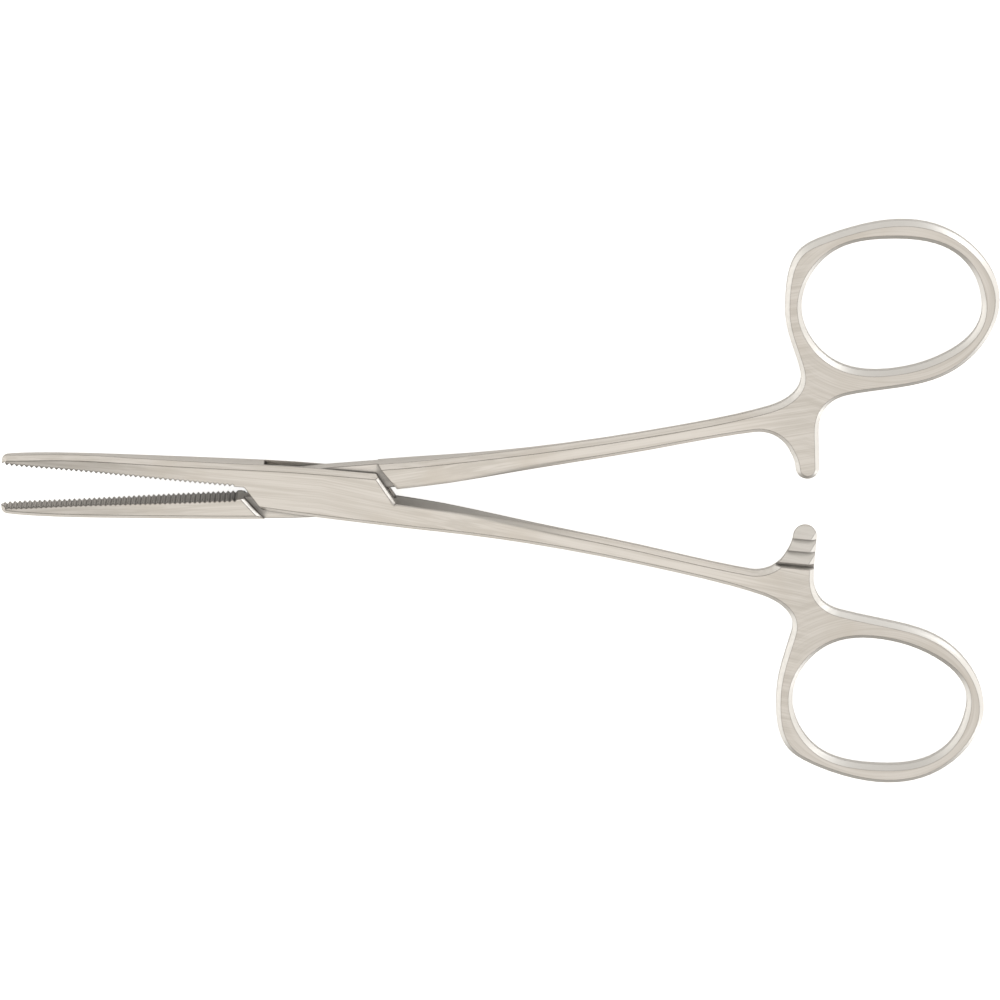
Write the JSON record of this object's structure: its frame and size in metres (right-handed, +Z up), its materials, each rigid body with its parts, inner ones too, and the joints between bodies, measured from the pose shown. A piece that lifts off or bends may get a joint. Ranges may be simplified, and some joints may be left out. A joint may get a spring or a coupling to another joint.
{
  "type": "hemostat forceps",
  "caption": "Straight box-lock hemostat forceps in brushed steel, partly open, with serrated jaws, finger rings and a ratchet between the rings.",
  "frame": {"origin": "on the hinge pin's axis, at the flat underside of the box, on which the forceps lie", "axes": "+X from the jaws to the finger rings along the middle line between the halves, +Y across towards the tongue half's ring, +Z up from the table along the hinge pin"},
  "size_m": [0.1376, 0.0808, 0.0049],
  "materials": {
    "box_half": "satin brushed stainless steel, warm light grey",
    "tongue_half": "satin brushed stainless steel, warm light grey",
    "pivot_pin": "satin brushed stainless steel, ground flush with the cheeks"
  },
  "bodies": {
    "box_body": {"box_half": "box_half", "pivot_pin": "pivot_pin"},
    "tongue_body": {"tongue_half": "tongue_half"}
  },
  "joints": [
    {"name": "pivot_hinge", "type": "hinge", "parent": "box_body", "child": "tongue_body", "pos_m": [0, 0, 0.00245], "axis": [0, 0, 1], "range_deg": [-7.8, 50]}
  ]
}
